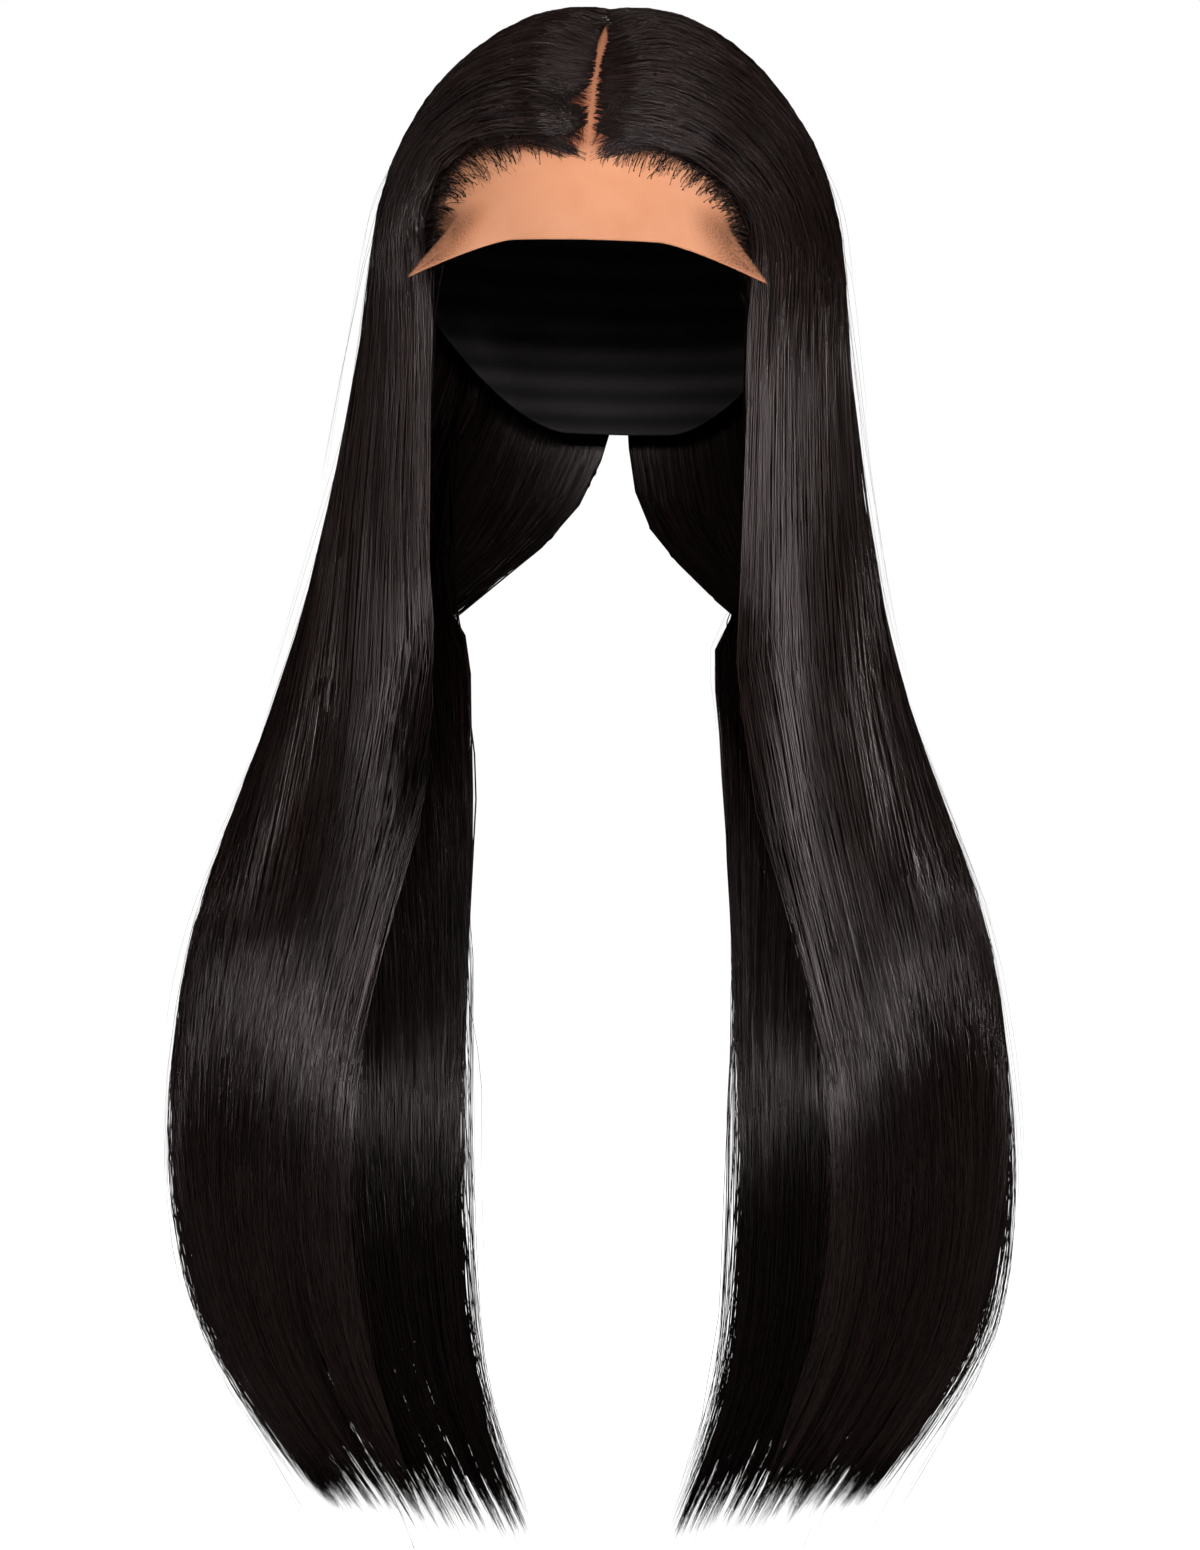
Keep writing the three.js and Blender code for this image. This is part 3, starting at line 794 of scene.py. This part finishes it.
# Fine single hairs along the free edge of the fall, some of them a little outside it
def edgeHairs(rng, surface, style):
    look, count, zone, last = edgeLook, style["edgeHairs"], style["edgeZone"], surface["last"]
    t = unevenSteps(rng, count, look["points"], look["first"])
    begin = last - rng.uniform(*look["begin"], count)
    tip = begin + rng.uniform(*look["length"], count)
    tip = np.minimum(tip, last + look["past"] - rng.exponential(look["early"], count))
    u = column(begin) + column(tip - begin) * t
    inside = zone * rng.random(count) - look["outside"] * rng.exponential(0.5, count)
    inside = zone + (column(inside) - zone) * smoothStep(t, 0, 0.45)  # they come out from under the mass
    s = 1 - inside if style["freeEdge"] == 1 else inside
    s = s + look["sway"] * wave(u * 0.12 + column(rng.random(count)))
    s = s - turnedIn(u, last)
    points, normal = inHair(surface, s, u, between(rng, look["depth"], count))
    return fineHairs(rng, look, surface, u, points, normal, t)


flyLook = {
    "points": 12, "radius": (0.06, 0.10), "taper": 0.6, "shade": (0, 1),
    "from": 2.5, "length": (2.0, 5.5), "past": 0.3,
    "edgeShare": 0.45, "sway": (0.004, 0.03), "cycles": (0.05, 0.16),
    "depth": 0.9, "higher": (0.0, 0.3), "off": 0.0045,  # the last in metres
}


# Loose single hairs that stand off the surface
def flyaways(rng, surface, count):
    look, last = flyLook, surface["last"]
    t = np.linspace(0, 1, look["points"])[None]
    start = column(rng.uniform(look["from"], last - look["from"], count))
    u = np.minimum(start + between(rng, look["length"], count) * t, last + look["past"])
    s0 = np.where(rng.random(count) < look["edgeShare"],
                  rng.beta(0.5, 0.5, count), rng.random(count))
    sway = between(rng, look["sway"], count)
    cycles = u * between(rng, look["cycles"], count) + column(rng.random(count))
    s = column(s0) + sway * wave(cycles)
    d = look["depth"] + between(rng, look["higher"], count) * smoothStep(t, 0, 0.6)
    out = column(look["off"] * rng.random(count) ** 2) * smoothStep(t, 0.1, 0.9)
    points, normal = inHair(surface, s, u, d, out)
    return fineHairs(rng, look, surface, u, points, normal, t)


rootLook = {
    "points": 11, "first": 0.02, "radius": (0.10, 0.18), "taper": 0.5, "shade": (0.1, 1),
    "from": -0.005, "wide": 0.95, "behind": 0.4, "length": (1.0, 2.6),
    "sweep": 0.05, "uneven": 0.012, "depth": (0.5, 1.02),
    "reach": (0.3, 1.3),  # millimetres into the parting
}


# Fine hairs that leave the lace along the parting, like the bones of a fish
def partingRoots(rng, surface, count):
    look = rootLook
    t = unevenSteps(rng, count, look["points"], look["first"])
    s0 = look["from"] + look["wide"] * rng.random(count) ** 1.3
    start = look["behind"] * rng.random(count) ** 2.2
    u = column(start) + between(rng, look["length"], count) * t
    away = u - column(start)
    forward = look["sweep"] * (1 - smoothStep(s0, 0.05, 0.45))
    forward = forward + rng.normal(look["uneven"], look["uneven"], count)
    s = column(s0) + column(forward) * (1 - (1 - t) ** 1.7)
    d = between(rng, look["depth"], count) * smoothStep(away, 0, 1.1)
    points, normal = inHair(surface, s, u, d, sunkRoots(away, 0.3))
    far = mm * rng.uniform(*look["reach"], count) * (1 + smoothStep(s0, 0.5, 0.66))
    points = reachIn(points, column(far) * (1 - smoothStep(away, 0, 0.2)))
    return fineHairs(rng, look, surface, u, points, normal, smoothStep(t, 0.5, 1))


wispLook = {
    "points": 11, "first": 0.02, "radius": (0.10, 0.18), "taper": 0.65, "shade": (0, 0.8),
    "down": 5.9, "behind": 0.03, "uneven": 0.008, "unevenPeriod": 0.05,
    "fall": (0.3, 1.7), "sweep": (0.05, 0.17), "depth": (0.75, 1.12), "dive": 0.35,
}


# Hairs rooted along the front edge, which rise back from the lace and then sweep into the fall
def hairlineWisps(rng, surface, count):
    look = wispLook
    t = unevenSteps(rng, count, look["points"], look["first"])
    start = rng.uniform(0.0, look["down"], count)
    depth = np.interp(start, *zip(*surface["edge"])) + look["behind"] - surface["first"]
    s0 = surface["first"] + depth * rng.random(count) ** 0.65
    s0 = s0 + softNoise(rng, start / hairForm["steps"], look["unevenPeriod"]) * look["uneven"]
    u = column(start) + between(rng, look["fall"], count) * t ** 1.5
    s = column(s0) + between(rng, look["sweep"], count) * (1 - (1 - t) ** 1.5)
    d = between(rng, look["depth"], count) * smoothStep(t, 0, 0.8)
    d = d * (1 - look["dive"] * smoothStep(t, 0.55, 1))
    points, normal = inHair(surface, s, u, d, sunkRoots(t, 0.2))
    return fineHairs(rng, look, surface, u, points, normal, smoothStep(t, 0.1, 1))


babyLook = {
    "points": 10, "radius": (0.06, 0.10), "taper": 0.6, "shade": (0.1, 1),
    "down": (0.2, 6.3), "before": (-0.03, 0.01), "fall": (-0.1, 0.5), "sweep": (0.015, 0.06),
    "high": 0.3, "sunk": -0.0007, "off": 0.0012,  # the last two in metres
}


# Short fine hairs about the front edge
def babyHairs(rng, surface, count):
    look = babyLook
    t = np.linspace(0, 1, look["points"])[None]
    start = rng.uniform(*look["down"], count)
    s0 = rng.uniform(*look["before"], count)
    u = column(start) + between(rng, look["fall"], count) * t ** 1.4
    s = column(s0) + between(rng, look["sweep"], count) * t
    d = look["high"] * np.sin(t * math.pi * 0.6) * column(rng.random(count))
    points, normal = inHair(surface, s, u, d, look["sunk"] + look["off"] * t)
    return fineHairs(rng, look, surface, u, points, normal, t)


underLook = {
    "columns": 110, "rows": 36, "depth": 0.68, "inner": 0.04, "tail": 0.9,
    "begin": 0.36, "sooner": 0.30, "backBegin": 0.06,  # from the parting, sooner at the crown
    "end": 0.12, "notch": 1.1, "uneven": 0.2,  # before the hem
    "ridges": {0.02: 0.06, 0.06: 0.05},  # width and height
    # how much narrower it is than the hair, to leave room for the fine hairs at its free edges
    "frontHigh": 0.03, "frontLow": 0.05, "frontOfBack": 0.10, "outer": 0.34, "outerOfBack": 0.02,
}


# The mass of hair beneath the strands, which stands for the solid and ends in narrow points
def underHair(rng, name, hair, surface, style, tufts):
    look, last = underLook, surface["last"]
    s = np.linspace(0.0, 1.0, look["columns"] + 1)
    r = np.linspace(0, 1, look["rows"] + 1)[:, None]
    begin = np.full_like(s, look["backBegin"])
    if hair["freeFront"]:
        begin = look["begin"] - look["sooner"] * smoothStep(s, 0.35, 0.65)
    off = np.abs(s[:, None] - tufts[None]).min(1) * style["tufts"]  # between two tufts it ends earlier
    end = last - look["end"] - look["notch"] * np.clip(off * 1.3, 0, 1) ** 2
    end = end - look["uneven"] * rng.random(len(s))
    u = begin + (end - begin) * r
    low = smoothStep(u, last - 5.5, last - 1)
    front, back = look["frontOfBack"] * low, look["outerOfBack"] * low
    if hair["freeFront"]:
        front = look["frontHigh"] * (1 - smoothStep(u, 4, 7)) + look["frontLow"] * smoothStep(u, 7, 11)
        back = look["outer"] * smoothStep(u, last - 4.5, last - 1.5)
    across = behindHairline(surface, front + (1 - front - back) * s[None], u) - turnedIn(u, last)
    ridge = sum(height * softNoise(rng, s, width)[None] for width, height in look["ridges"].items())
    tail = 1 - look["tail"] * smoothStep(r, 0.86, 1)
    d = (look["depth"] + ridge * smoothStep(u, 1, 5)) * risen(hair, s, (u - begin).T).T * tail
    lower = hollowed(hair, s[None], u)
    outer, _ = inHair(surface, across, u, d, lower)
    inner, _ = inHair(surface, across, u, look["inner"], lower)
    return wallObject(name, outer, inner)


knotLook = {"tied": 0.55, "size": 2.6, "sunk": 0.4}  # of the wisps, of a wisp's radius and of the knot
bead = np.array([(1, 0, 0), (-1, 0, 0), (0, 1, 0), (0, -1, 0), (0, 0, 1), (0, 0, -1)], float)
beadFaces = np.array([(0, 2, 4), (2, 1, 4), (1, 3, 4), (3, 0, 4), (2, 0, 5), (1, 2, 5), (3, 1, 5), (0, 3, 5)])


# Tied knots: small dark eight-sided beads where the first hairs leave the lace
def knotObject(name, places, normals, radii):
    count, size = len(places), radii[:, None, None] * knotLook["size"]
    verts = places[:, None] + bead[None] * size - normals[:, None] * size * knotLook["sunk"]
    loops = (beadFaces[None] + np.arange(count)[:, None, None] * len(bead)).ravel()
    faces = len(beadFaces) * count
    spot = (np.arange(count) % strips + 0.5) / strips
    uvx = np.repeat(spot, beadFaces.size) + np.tile([-0.002, 0.002, 0.0], faces)
    uvy = np.tile([0.03, 0.03, 0.06], faces)
    return newObject(name, verts.reshape(-1, 3), loops, np.full(faces, 3), np.stack([uvx, uvy], -1))


def dressHair(sideName, hair, seed):
    rng = np.random.default_rng(seed)
    surface = hairSurface(hair, sides[sideName])
    style = hairStyle[hair["name"]]
    clumps = clumpsOf(rng, style)
    whole = f"{hair['name']}_{sideName}"
    thin = hairStyle["thinSpot"] if hair["freeFront"] and hairStyle["thinSpot"]["side"] == sideName else None
    under = underHair(rng, f"under_{whole}", hair, surface, style, clumps["tufts"])
    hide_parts(f"hair_{whole}")
    strands = [make(rng, hair, surface, style, clumps, thin) for make in (longStrands, crownStrands)]
    pieces = [under, strandObject(f"strands_{whole}", strands)]
    fine = [endStrands(rng, hair, surface, style, clumps), flyaways(rng, surface, hairStyle["flyaways"]),
            edgeHairs(rng, surface, style)]
    if hair["freeFront"]:
        wisps = hairlineWisps(rng, surface, hairStyle["wisps"])
        roots = partingRoots(rng, surface, hairStyle["roots"])
        fine += [roots, wisps, babyHairs(rng, surface, hairStyle["babyHairs"])]
        tied = rng.random(hairStyle["wisps"]) < knotLook["tied"]
        pieces.append(knotObject(f"knots_{sideName}", *[values[tied, 0] for values in wisps[:3]]))
    pieces.append(strandObject(f"fineHairs_{whole}", fine))
    for piece in pieces:
        piece.data.materials.append(hairMaterials["under" if piece == under else hair["name"]])
        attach(piece, "root")
    print("hair", whole, [len(p.data.polygons) for p in pieces], "faces")


for number, sideName in enumerate(sides):
    for hair in (frontHair, backHair):
        dressHair(sideName, hair, hairStyle["seed"] + 10 * number + len(hair["name"]))

laceLook = {
    "rows": 50, "columns": (18, 26, 7, 18),  # middle to the corner's start, tip and end, and to the seam
    "wall": 0.35, "drawnUp": 3.0, "drawnWidth": 1.7,  # millimetres
    "cell": 0.9, "thread": (0.07, 0.15),  # the net: millimetres, and shares of a cell
    "tan": (0.62, 0.245, 0.115), "pale": (0.74, 0.355, 0.21), "blotches": 60,
    "rootsAndShade": (0.20, 0.05, 0.018),  # darker between the roots of the hair: partly the roots, partly painted shade of the hair
    "rootsAndShadeMix": {"corner": 0.3, "hairline": 0.25, "parting": 0.26, "besideParting": 0.42},
    "closed": 0.93, "lessBelow": 0.13, "sheer": 0.10, "hem": 0.8, "sheerThread": 0.36,  # how much it covers
    "smooth": 0.65, "rough": 0.85, "relief": 0.0003, "shine": 0.25,
    "flat": (0.33, 0.19),
}
capLook = {
    "columns": 60, "rows": 36, "wall": 1.0,
    "colour": (0.010, 0.0085, 0.0085), "darker": 0.5, "lighter": 1.7,
    "wefts": 26, "weftsUneven": 0.6, "net": 620, "netHeight": 0.6, "relief": 0.0012,
    "rough": 0.85, "shine": 0.2,
    "flat": (0.33, 0.23),
}
netForm = {"spread": 0.996, "closer": 1.35, "metresRound": 0.088, "metresDown": 0.095}


# A dome of net made from a flat grid: azimuths round the dome, from the crown down to its edge
def netDome(name, azimuths, look, edgeAngle, lift, shift, lifted=None, layers=None):
    bpy.ops.object.select_all(action="DESELECT")
    bpy.ops.mesh.primitive_grid_add(
        x_subdivisions=len(azimuths) - 1, y_subdivisions=look["rows"], size=1, calc_uvs=True)
    obj = bpy.context.object
    obj.name = obj.data.name = name
    a = np.radians(azimuths)[None]
    left = 1 - np.linspace(0, 1, look["rows"] + 1)[:, None]
    share = 1 - netForm["spread"] * left ** netForm["closer"]  # closer rows at the edge
    down = np.radians(edgeAngle(azimuths))[None] * share
    direction = np.stack([np.sin(down) * np.sin(a), -np.sin(down) * np.cos(a), np.cos(down)], -1)
    points = onDome(direction, lift)
    points[..., 1] += shift
    if lifted:
        points = points + lifted(azimuths, share, points, direction)
    for layerName, values in (layers(azimuths, share, points, direction) if layers else {}).items():
        layer = obj.data.attributes.new(layerName, "FLOAT", "POINT")
        layer.data.foreach_set("value", np.clip(values, 0, 1).astype(np.float32).ravel())
    points = points @ domeTurn().T * mm
    obj.data.vertices.foreach_set("co", np.ascontiguousarray(points, np.float32).ravel())
    # the net's own map runs in metres round the dome and down from the crown
    layer = obj.data.uv_layers[0]
    layer.name = "netMap"
    vertex = np.empty(len(obj.data.loops), np.int32)
    obj.data.loops.foreach_get("vertex_index", vertex)
    net = np.stack([np.sin(down) * netForm["metresRound"] * a, down * netForm["metresDown"]], -1)
    layer.uv.foreach_set("vector", np.ascontiguousarray(net.reshape(-1, 2)[vertex], np.float32).ravel())
    obj.data.update()
    outside = obj.data.polygons[len(obj.data.polygons) // 2]
    fromMiddle = np.array(outside.center) + np.array([0, 0, dome["crown"] * mm])
    if np.dot(np.array(outside.normal), fromMiddle) < 0:
        obj.data.flip_normals()
    thicken = obj.modifiers.new("wall", "SOLIDIFY")
    thicken.thickness = look["wall"] * mm
    thicken.offset = -1
    bpy.ops.object.modifier_apply(modifier="wall")
    bpy.ops.object.shade_smooth()
    return obj


def cornerRise(azimuths):
    away = np.abs(azimuths)
    rising = np.clip((away - dome["cornerStart"]) / (dome["cornerAt"] - dome["cornerStart"]), 0, 1) ** 1.6
    falling = np.clip((dome["cornerEnd"] - away) / (dome["cornerEnd"] - dome["cornerAt"]), 0, 1)
    return np.minimum(rising, falling)


# The loose corners stand off the dome, and along the parting at the crown the hair draws the lace up
def laceLifted(azimuths, share, points, direction):
    corner = cornerRise(azimuths)[None] * smoothStep(share, 1 - dome["cornerDepth"], 1.02)
    same = np.ones_like(azimuths)
    out = np.stack([np.sign(azimuths), same, same], -1) * np.array(dome["cornerLift"], float)
    drawn = laceLook["drawnUp"] * np.exp(-(points[..., 0] / laceLook["drawnWidth"]) ** 2)
    drawn = drawn * smoothStep(direction[..., 2], 0.80, 0.97)
    return corner[..., None] * out[None] + drawn[..., None] * direction


def laceEdge(azimuths):
    return dome["frontEdge"] + (dome["sideEdge"] - dome["frontEdge"]) * smoothStep(np.abs(azimuths), 50, 90)


def capEdge(azimuths):
    toSide = smoothStep(np.abs(180 - azimuths), 20, 90)
    return dome["rearEdge"] + (dome["sideEdge"] - dome["rearEdge"]) * toSide


# How closed the net looks at each point, and where it is darker, partly from roots of hair and partly painted
# shade of the hair: the loose corners are sheer with a fine closed edge, and it is darkest beside the parting
def laceLayers(azimuths, share, points, direction):
    look, rootsAndShadeMix = laceLook, laceLook["rootsAndShadeMix"]
    aside, height = np.abs(azimuths)[None], direction[..., 2]
    corner = smoothStep(aside, 29, 41) * smoothStep(share, 0.88, 0.95)
    filled = (look["closed"] - look["lessBelow"] * smoothStep(share, 0.80, 1.0)) * (1 - corner)
    filled = filled + look["sheer"] * corner
    filled = np.maximum(filled, look["hem"] * smoothStep(share, 0.992, 0.998) * smoothStep(aside, 20, 30))
    beside = rootsAndShadeMix["parting"] + rootsAndShadeMix["besideParting"] * smoothStep(np.abs(points[..., 0]), 0.5, 4.0)
    rootsAndShade = rootsAndShadeMix["corner"] * corner + rootsAndShadeMix["hairline"] * smoothStep(height, 0.34, 0.44)
    rootsAndShade = rootsAndShade + beside * smoothStep(height, 0.40, 0.46)
    return {"filled": filled, "rootsAndShade": rootsAndShade}


laceStops = [0, dome["cornerStart"], dome["cornerAt"], dome["cornerEnd"], 90]
stretches = zip(laceStops, laceStops[1:], laceLook["columns"])
half = np.concatenate([np.linspace(a, b, n, endpoint=False) for a, b, n in stretches] + [laceStops[-1:]])
laceAround = np.concatenate([-half[:0:-1], half])
capAround = np.linspace(90, 270, capLook["columns"] + 1)
lace = netDome("lace", laceAround, laceLook, laceEdge, dome["laceWall"], -dome["seamGap"] / 2,
               laceLifted, laceLayers)
cap = netDome("capNet", capAround, capLook, capEdge, dome["netWall"], dome["seamGap"] / 2)


# Sheer net: uneven cells between fine threads, more closed where the net looks filled
def laceMaterial():
    material, nodes, surface = newMaterial("tanLace")
    look = laceLook
    place = addNode(nodes, "UVMap", uv_map="netMap")
    turned = addNode(nodes, "Mapping", {"Vector": (place, "UV"), "Rotation": (0, 0, math.pi / 4)})
    holes = addNode(nodes, "TexVoronoi", {
        "Vector": (turned, "Vector"), "Scale": 1000 / look["cell"], "Randomness": 0.9},
        voronoi_dimensions="2D", feature="DISTANCE_TO_EDGE")
    thread = addNode(nodes, "MapRange", {
        "Value": (holes, "Distance"), "From Min": look["thread"][0], "From Max": look["thread"][1],
        "To Min": 1.0, "To Max": 0.0})
    filled = addNode(nodes, "Attribute", attribute_name="filled")
    tied = addNode(nodes, "MapRange", {"Value": (filled, "Fac"), "To Min": look["sheerThread"]})
    # alpha of a hole, then of a thread
    cover = addNode(nodes, "Mix", {"Factor": (thread, "Result"), "A": (filled, "Fac"), "B": (tied, "Result")})
    where = addNode(nodes, "TexCoord")
    blotch = addNode(nodes, "TexNoise", {"Vector": (where, "Object"), "Scale": look["blotches"]})
    dye = addNode(nodes, "Mix", {
        "Factor": (blotch, "Fac"), "A": (*look["tan"], 1), "B": (*look["pale"], 1)}, data_type="RGBA")
    rootsAndShade = addNode(nodes, "Attribute", attribute_name="rootsAndShade")
    # the net darkened at the corners, along the hairline and beside the parting: partly roots of hair, partly
    # painted shade of the hair
    rootsAndShadeMix = addNode(nodes, "Mix", {
        "Factor": (rootsAndShade, "Fac"), "A": (dye, "Result"), "B": (*look["rootsAndShade"], 1)}, data_type="RGBA")
    rough = addNode(nodes, "MapRange", {
        "Value": (thread, "Result"), "To Min": look["rough"], "To Max": look["smooth"]})
    relief = addNode(nodes, "Bump", {
        "Height": (thread, "Result"), "Strength": 0.5, "Distance": look["relief"]})
    fill(surface, {
        "Base Color": (rootsAndShadeMix, "Result"), "Roughness": (rough, "Result"), "Alpha": (cover, "Result"),
        "Normal": (relief, "Normal"), "Specular IOR Level": look["shine"]})
    return material


lace.data.materials.append(laceMaterial())
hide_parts("lace_front")


# Dark stretch net in rows of wefts, seen from inside and under the hair
def capMaterial():
    material, nodes, surface = newMaterial("darkStretchNet")
    look = capLook
    place = addNode(nodes, "UVMap", uv_map="netMap")
    wefts = addNode(nodes, "TexWave", {
        "Vector": (place, "UV"), "Scale": look["wefts"], "Distortion": look["weftsUneven"]},
        bands_direction="Y")
    net = addNode(nodes, "TexVoronoi", {"Vector": (place, "UV"), "Scale": look["net"]},
                  voronoi_dimensions="2D", feature="DISTANCE_TO_EDGE")
    height = addNode(nodes, "Math", {0: (net, "Distance"), 1: look["netHeight"], 2: (wefts, "Fac")},
                     operation="MULTIPLY_ADD")
    relief = addNode(nodes, "Bump", {"Height": (height, 0), "Strength": 0.7, "Distance": look["relief"]})
    dark, light = [(*[c * look[tone] for c in look["colour"]], 1) for tone in ("darker", "lighter")]
    tone = addNode(nodes, "Mix", {"Factor": (wefts, "Fac"), "A": dark, "B": light}, data_type="RGBA")
    fill(surface, {
        "Base Color": (tone, "Result"), "Normal": (relief, "Normal"),
        "Roughness": look["rough"], "Specular IOR Level": look["shine"]})
    return material


cap.data.materials.append(capMaterial())
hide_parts("cap")
for piece, slot in ((lace, "lace"), (cap, "stretch_net")):
    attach(piece, "root")


def halfArea(obj):
    return sum(p.area for p in obj.data.polygons) / 2


print("lace", halfArea(lace), "cap", halfArea(cap), "square metres")
